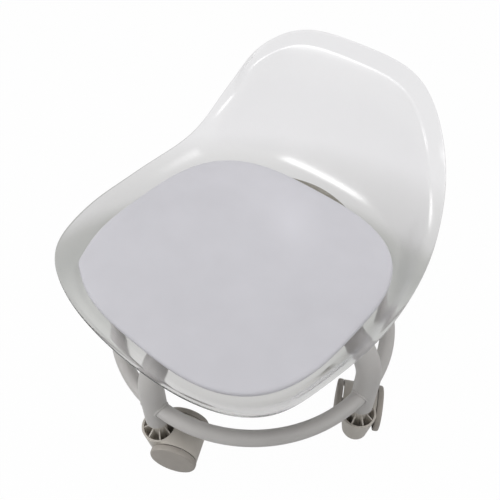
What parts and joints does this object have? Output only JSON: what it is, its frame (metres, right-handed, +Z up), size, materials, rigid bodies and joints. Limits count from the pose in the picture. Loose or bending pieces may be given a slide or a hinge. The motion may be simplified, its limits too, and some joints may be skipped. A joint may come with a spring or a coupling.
{
  "type": "rolling stool",
  "caption": "Low rolling stool: clear moulded bucket seat with a thin pad, on bent tube legs tied by a ring, with a swivel caster under each leg.",
  "frame": {"origin": "on the floor, on the axis of the base, midway between opposite casters", "axes": "+Z up; the sitter faces -Y; +X is the sitter's left"},
  "size_m": [0.3464, 0.3474, 0.354],
  "materials": {
    "clear": "clear polycarbonate, gloss",
    "pad": "smooth matt leatherette",
    "paint": "fine powder coat",
    "plastic": "moulded nylon, satin",
    "steel": "zinc plated"
  },
  "bodies": {
    "stool": {"seat_shell": "clear", "seat_pad": "pad", "seat_plate": "paint", "seat_screw_1": "steel", "seat_washer_1": "steel", "seat_nut_1": "steel", "seat_screw_2": "steel", "seat_washer_2": "steel", "seat_nut_2": "steel", "seat_screw_3": "steel", "seat_washer_3": "steel", "seat_nut_3": "steel", "seat_screw_4": "steel", "seat_washer_4": "steel", "seat_nut_4": "steel", "side_legs": "paint", "front_leg": "paint", "back_leg": "paint", "ring_left_back": "paint", "ring_back_right": "paint", "ring_right_front": "paint", "ring_front_left": "paint", "front_stem_socket": "plastic", "front_caster_stem": "steel", "left_stem_socket": "plastic", "left_caster_stem": "steel", "back_stem_socket": "plastic", "back_caster_stem": "steel", "right_stem_socket": "plastic", "right_caster_stem": "steel"},
    "front_caster": {"front_caster_hood": "plastic", "front_caster_axle": "steel"},
    "front_wheel_left": {"front_caster_wheel_left": "plastic"},
    "front_wheel_right": {"front_caster_wheel_right": "plastic"},
    "left_caster": {"left_caster_hood": "plastic", "left_caster_axle": "steel"},
    "left_wheel_left": {"left_caster_wheel_left": "plastic"},
    "left_wheel_right": {"left_caster_wheel_right": "plastic"},
    "back_caster": {"back_caster_hood": "plastic", "back_caster_axle": "steel"},
    "back_wheel_left": {"back_caster_wheel_left": "plastic"},
    "back_wheel_right": {"back_caster_wheel_right": "plastic"},
    "right_caster": {"right_caster_hood": "plastic", "right_caster_axle": "steel"},
    "right_wheel_left": {"right_caster_wheel_left": "plastic"},
    "right_wheel_right": {"right_caster_wheel_right": "plastic"}
  },
  "joints": [
    {"name": "front_swivel", "type": "hinge", "parent": "stool", "child": "front_caster", "pos_m": [0, -0.15, 0.05], "axis": [0, 0, 1], "continuous": true},
    {"name": "front_spin_left", "type": "hinge", "parent": "front_caster", "child": "front_wheel_left", "pos_m": [0.0191, -0.14089, 0.025], "axis": [-0.4305, 0.9026, 0], "continuous": true},
    {"name": "front_spin_right", "type": "hinge", "parent": "front_caster", "child": "front_wheel_right", "pos_m": [0.0191, -0.14089, 0.025], "axis": [-0.4305, 0.9026, 0], "continuous": true},
    {"name": "left_swivel", "type": "hinge", "parent": "stool", "child": "left_caster", "pos_m": [0.15, 0, 0.05], "axis": [0, 0, 1], "continuous": true},
    {"name": "left_spin_left", "type": "hinge", "parent": "left_caster", "child": "left_wheel_left", "pos_m": [0.13974, 0.01851, 0.025], "axis": [-0.8746, -0.4848, 0], "continuous": true},
    {"name": "left_spin_right", "type": "hinge", "parent": "left_caster", "child": "left_wheel_right", "pos_m": [0.13974, 0.01851, 0.025], "axis": [-0.8746, -0.4848, 0], "continuous": true},
    {"name": "back_swivel", "type": "hinge", "parent": "stool", "child": "back_caster", "pos_m": [0, 0.15, 0.05], "axis": [0, 0, 1], "continuous": true},
    {"name": "back_spin_left", "type": "hinge", "parent": "back_caster", "child": "back_wheel_left", "pos_m": [-0.0191, 0.14089, 0.025], "axis": [0.4305, -0.9026, 0], "continuous": true},
    {"name": "back_spin_right", "type": "hinge", "parent": "back_caster", "child": "back_wheel_right", "pos_m": [-0.0191, 0.14089, 0.025], "axis": [0.4305, -0.9026, 0], "continuous": true},
    {"name": "right_swivel", "type": "hinge", "parent": "stool", "child": "right_caster", "pos_m": [-0.15, 0, 0.05], "axis": [0, 0, 1], "continuous": true},
    {"name": "right_spin_left", "type": "hinge", "parent": "right_caster", "child": "right_wheel_left", "pos_m": [-0.13974, 0.01851, 0.025], "axis": [-0.8746, 0.4848, 0], "continuous": true},
    {"name": "right_spin_right", "type": "hinge", "parent": "right_caster", "child": "right_wheel_right", "pos_m": [-0.13974, 0.01851, 0.025], "axis": [-0.8746, 0.4848, 0], "continuous": true}
  ]
}
